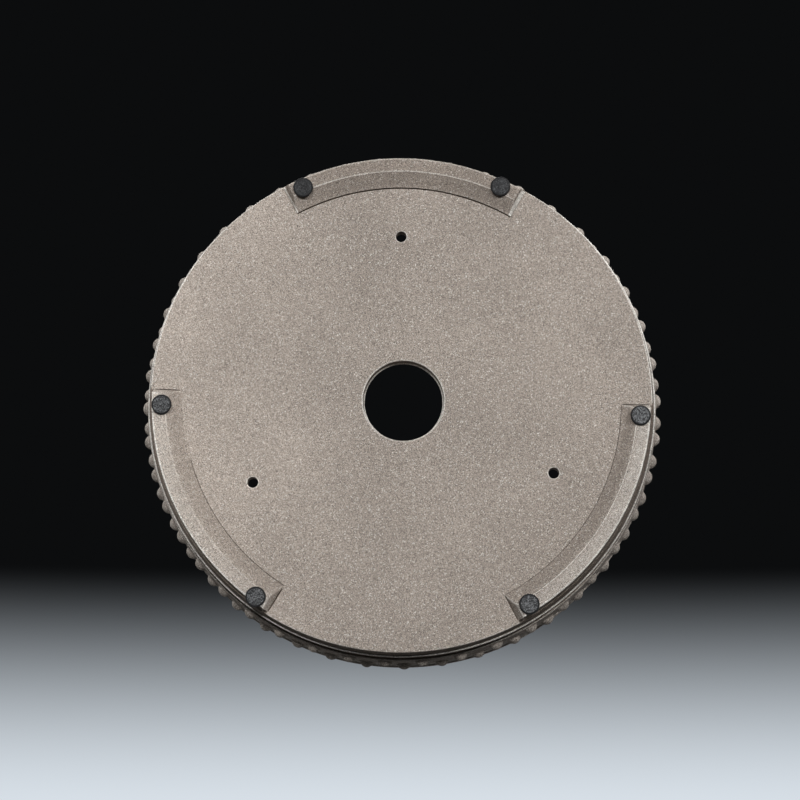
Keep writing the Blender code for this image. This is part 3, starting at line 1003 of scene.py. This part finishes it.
def floor_material():
    """Pale paint with a painted shadow under the pot, and even far from it. From beneath, view and light go
    through it.
    """
    material, nodes = new_material("pale_floor")
    seen = nodes.seen()
    length = nodes.add("ShaderNodeVectorMath", operation="LENGTH")
    nodes.put(nodes.place(), length.inputs[0])
    reach = length.outputs["Value"]
    # A painted shadow under the pot
    painted_shadow = nodes.ranged(reach, *PAINTED_SHADOW_SPAN, 1.0, 0.0, True)
    shown = nodes.mixed(painted_shadow, FLOOR_COLOUR, FLOOR_PAINTED_SHADOW)
    paint = nodes.add("ShaderNodeBsdfDiffuse")
    nodes.put(nodes.mixed(seen, FLOOR_BOUNCE, shown), paint.inputs["Color"])
    glow = nodes.add("ShaderNodeEmission")
    nodes.put((HORIZON_LEVEL,) * 3, glow.inputs["Color"])
    far = nodes.times(nodes.ranged(reach, *FAR_SPAN, 0.0, 1.0, True), seen)
    ground = nodes.mixed_shader(far, paint.outputs[0], glow.outputs[0])
    clear = nodes.add("ShaderNodeBsdfTransparent").outputs[0]
    back = nodes.add("ShaderNodeNewGeometry").outputs["Backfacing"]
    shadow = nodes.add("ShaderNodeLightPath").outputs["Is Shadow Ray"]
    through = nodes.math("MAXIMUM", back, shadow)
    nodes.finish("ShaderNodeOutputMaterial", nodes.mixed_shader(through, ground, clear))
    return material


def make_stage():
    """A wide round floor just under the pads."""
    shape = bmesh.new()
    bmesh.ops.create_circle(shape, cap_ends=True, segments=STAGE_SEGMENTS, radius=STAGE_RADIUS)
    mesh = bpy.data.meshes.new("floor")
    shape.to_mesh(mesh)
    shape.free()
    mesh.materials.append(floor_material())
    floor = scratch_object("floor", mesh)
    floor.location.z = -STAGE_DROP


def make_world():
    """Soft light from above, and a backdrop that is pale round the horizon and dark overhead."""
    world = bpy.data.worlds.new("studio")
    world.use_nodes = True
    bpy.context.scene.world = world
    nodes = Nodes(world.node_tree)
    _, across, up = nodes.split(nodes.add("ShaderNodeTexCoord").outputs["Generated"])
    seen = nodes.seen()
    overhead = nodes.ranged(up, *OVERHEAD_SPAN, 0.0, 1.0, True)
    level = nodes.times(nodes.ranged(across, *BACKDROP_SPAN, *BACKDROP_LEVELS, True), overhead)
    horizon = nodes.times(HORIZON_LEVEL, nodes.math("SUBTRACT", 1.0, overhead))
    sky = nodes.ranged(up, *SKY_SPAN, 0.0, SKY_LEVEL)
    strength = nodes.add("ShaderNodeMix", data_type="FLOAT")
    nodes.put(seen, strength.inputs[0])
    nodes.put(nodes.times(sky, nodes.ranged(across, *SKY_REAR_SPAN, 1.0, SKY_REAR_SHARE)), strength.inputs[2])
    nodes.put(nodes.math("ADD", level, horizon), strength.inputs[3])
    background = nodes.add("ShaderNodeBackground")
    colour = nodes.mixed(nodes.times(seen, overhead), PLAIN_WHITE, BACKDROP_TINT)
    nodes.put(colour, background.inputs["Color"])
    nodes.put(strength.outputs[0], background.inputs["Strength"])
    nodes.finish("ShaderNodeOutputWorld", background.outputs[0])


def soft_box(name, place, target, size, level):
    """A square lamp that lights a surface facing it at target at the given share of a plain level."""
    lamp = bpy.data.lights.new(name, "AREA")
    lamp.shape = "SQUARE"
    lamp.size = size
    reach = Vector(target) - Vector(place)
    lamp.energy = level * math.pi ** 2 * reach.length_squared
    box = bpy.data.objects.new(name, lamp)
    box.location = place
    box.rotation_mode = "QUATERNION"
    box.rotation_quaternion = reach.to_track_quat("-Z", "Y")
    box.visible_camera = False
    bpy.context.scene.collection.objects.link(box)


def make_camera():
    """The photograph's view: from below, with the pot's front at the top of the picture."""
    tilt = math.radians(CAMERA_TILT)
    side = math.radians(CAMERA_SIDE_TILT)
    back = Vector((math.sin(side), math.cos(side) * math.sin(tilt), -math.cos(side) * math.cos(tilt)))
    right = Vector((math.cos(side), -math.sin(side) * math.sin(tilt), math.sin(side) * math.cos(tilt)))
    up = back.cross(right)
    data = bpy.data.cameras.new("photo_camera")
    data.lens = CAMERA_LENS
    data.sensor_width = SENSOR_WIDTH
    metres_per_pixel = CAMERA_DISTANCE * SENSOR_WIDTH / CAMERA_LENS / FRAME_PIXELS
    aside, below = (p - FRAME_PIXELS / 2 for p in BASE_CENTRE_PIXEL)
    place = Vector((0.0, 0.0, BASE_LEVEL)) + CAMERA_DISTANCE * back
    place += (below * up - aside * right) * metres_per_pixel
    camera = bpy.data.objects.new("photo_camera", data)
    turn = Matrix((right, up, back)).transposed()
    camera.matrix_world = Matrix.Translation(place) @ turn.to_4x4()
    bpy.context.scene.collection.objects.link(camera)
    bpy.context.scene.camera = camera


make_camera()
stoneware = clay_material()
pad_rubber = rubber_material()
make_floor(stoneware)
make_wall(stoneware)
make_rim(stoneware)
make_lines(stoneware)
make_belt(stoneware)
make_studs(stoneware)
make_feet(stoneware)
make_pads(pad_rubber)
make_stage()
make_world()
for lamp_name, settings in LAMPS.items():
    soft_box(lamp_name, *settings)
bpy.context.scene.view_settings.view_transform = "Standard"
